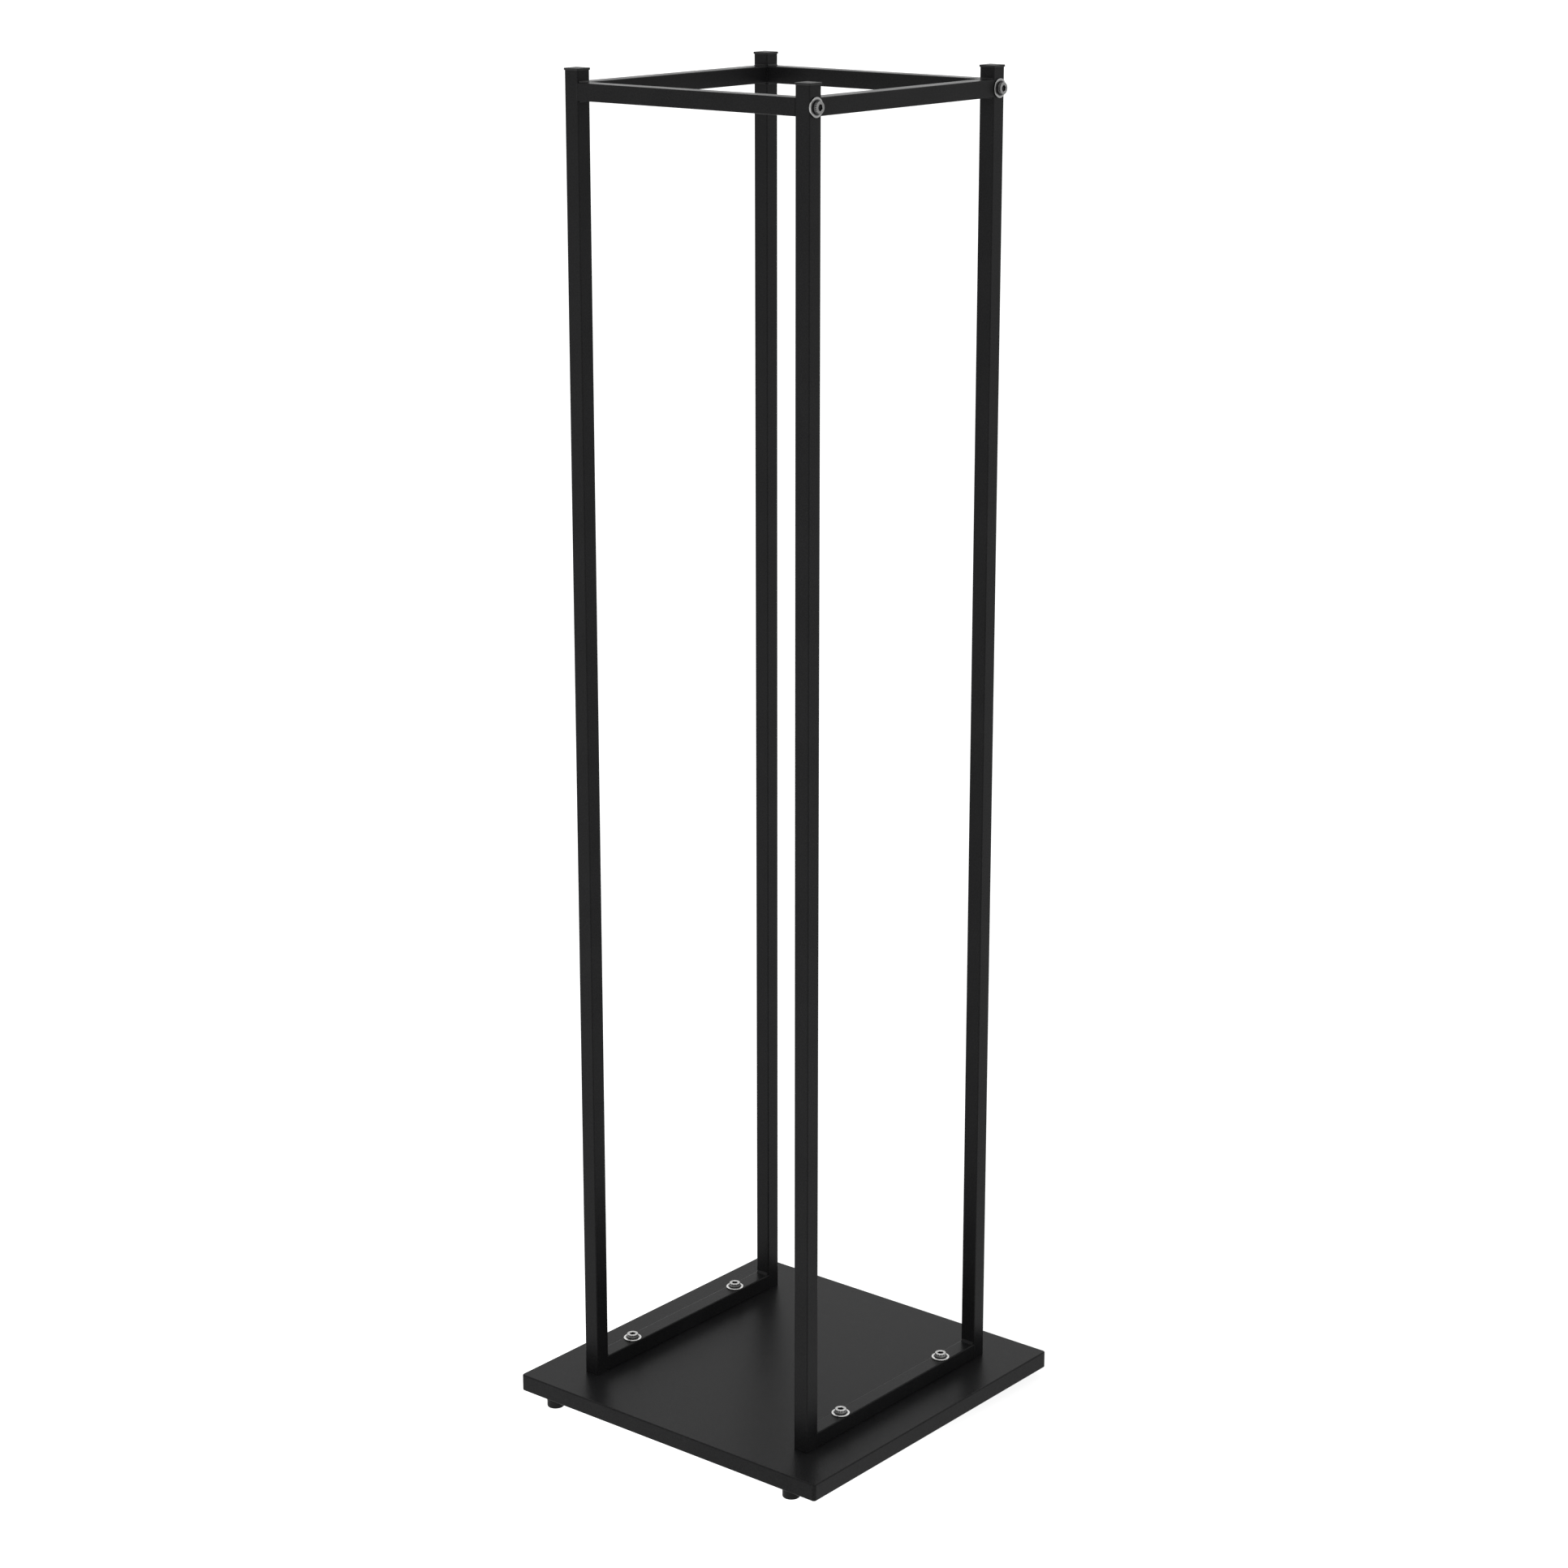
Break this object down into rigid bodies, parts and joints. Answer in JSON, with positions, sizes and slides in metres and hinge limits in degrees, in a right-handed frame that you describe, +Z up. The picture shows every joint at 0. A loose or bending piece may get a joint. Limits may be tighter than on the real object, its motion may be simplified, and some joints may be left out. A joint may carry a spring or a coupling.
{
  "type": "firewood rack",
  "caption": "Tall narrow open rack of square tube bolted to a thin square base tray on round feet, for a stack of logs.",
  "frame": {"origin": "centre of the footprint on the floor, under the feet", "axes": "+Z up, +X along the front crossbar to the right, +Y to the rear"},
  "size_m": [0.35, 0.35, 1.2222],
  "materials": {
    "tray_paint": "satin black powder coat, fine texture",
    "tube_paint": "satin black powder coat, fine texture",
    "weld_paint": "satin black powder coat over a weld fillet",
    "cap_plastic": "moulded black polyethylene, faint grain",
    "zinc_screw": "bright zinc plate",
    "zinc_washer": "bright zinc plate",
    "zinc_nut": "bright zinc plate",
    "steel_plug": "bare steel",
    "foot_rubber": "moulded black rubber"
  },
  "bodies": {
    "root": {"base_tray": "tray_paint", "bottom_rail_left": "tube_paint", "top_rail_left": "tube_paint", "welds_left": "weld_paint", "bottom_rail_right": "tube_paint", "top_rail_right": "tube_paint", "welds_right": "weld_paint", "crossbar_front": "tube_paint", "crossbar_plug_front": "steel_plug", "top_washer_front": "zinc_washer", "top_screw_front": "zinc_screw", "crossbar_rear": "tube_paint", "crossbar_plug_rear": "steel_plug", "top_washer_rear": "zinc_washer", "top_screw_rear": "zinc_screw", "crossbar_welds": "weld_paint", "post_left_front": "tube_paint", "end_cap_left_front": "cap_plastic", "base_washer_left_front": "zinc_washer", "base_screw_left_front": "zinc_screw", "base_nut_left_front": "zinc_nut", "foot_left_front": "foot_rubber", "foot_screw_left_front": "zinc_screw", "foot_nut_left_front": "zinc_nut", "post_left_rear": "tube_paint", "end_cap_left_rear": "cap_plastic", "base_washer_left_rear": "zinc_washer", "base_screw_left_rear": "zinc_screw", "base_nut_left_rear": "zinc_nut", "foot_left_rear": "foot_rubber", "foot_screw_left_rear": "zinc_screw", "foot_nut_left_rear": "zinc_nut", "post_right_front": "tube_paint", "end_cap_right_front": "cap_plastic", "base_washer_right_front": "zinc_washer", "base_screw_right_front": "zinc_screw", "base_nut_right_front": "zinc_nut", "foot_right_front": "foot_rubber", "foot_screw_right_front": "zinc_screw", "foot_nut_right_front": "zinc_nut", "post_right_rear": "tube_paint", "end_cap_right_rear": "cap_plastic", "base_washer_right_rear": "zinc_washer", "base_screw_right_rear": "zinc_screw", "base_nut_right_rear": "zinc_nut", "foot_right_rear": "foot_rubber", "foot_screw_right_rear": "zinc_screw", "foot_nut_right_rear": "zinc_nut"}
  },
  "joints": []
}
